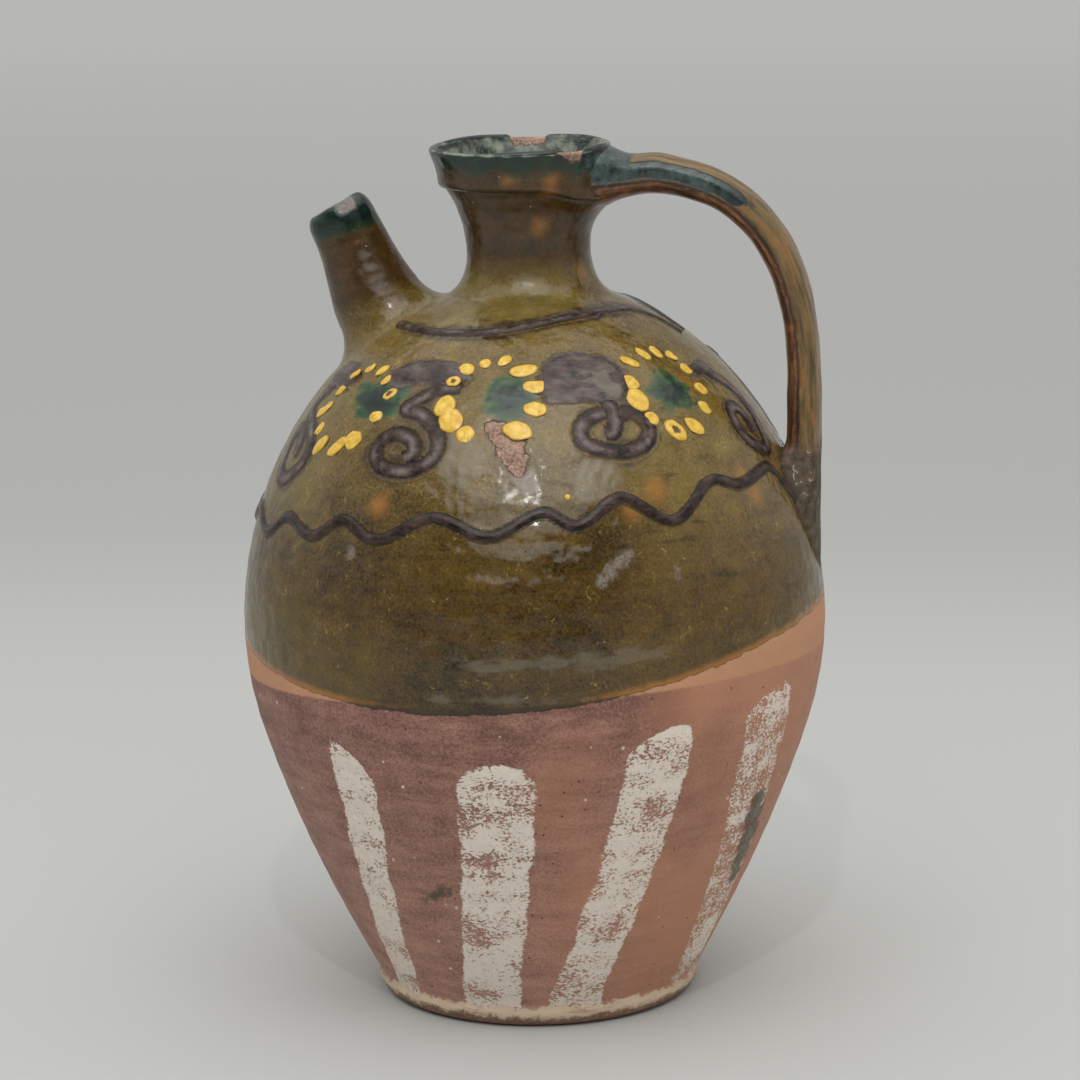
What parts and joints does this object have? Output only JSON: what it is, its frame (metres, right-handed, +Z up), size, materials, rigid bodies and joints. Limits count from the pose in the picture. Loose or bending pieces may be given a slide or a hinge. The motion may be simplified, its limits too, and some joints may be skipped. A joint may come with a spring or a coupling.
{
  "type": "pitcher",
  "caption": "Hand-thrown earthenware pitcher with a round belly, collared neck, tapered pouring spout and loop handle, half glazed and decorated with trailed slip.",
  "frame": {"origin": "middle of the foot's flat underside", "axes": "+Z up along the jug's axis, +X towards the handle, -X towards the spout"},
  "size_m": [0.2046, 0.2046, 0.2999],
  "materials": {
    "terracotta": "unglazed fired clay with a red-brown wash and worn white slip stripes",
    "olive_glaze": "glossy olive-brown lead glaze over earthenware, green at the rim and the spout tip",
    "brown_slip": "raised violet-brown slip under clear glaze",
    "yellow_slip": "raised yellow slip dots under clear glaze"
  },
  "bodies": {
    "root": {"lower_body": "terracotta", "upper_body": "olive_glaze", "neck": "olive_glaze", "spout": "olive_glaze", "handle": "olive_glaze", "belly_wave": "brown_slip", "swag_front": "brown_slip", "swag_back": "brown_slip", "scroll_front_1": "brown_slip", "scroll_back_1": "brown_slip", "scroll_front_2": "brown_slip", "scroll_back_2": "brown_slip", "scroll_front_3": "brown_slip", "scroll_back_3": "brown_slip", "scroll_front_4": "brown_slip", "scroll_back_4": "brown_slip"}
  },
  "joints": []
}
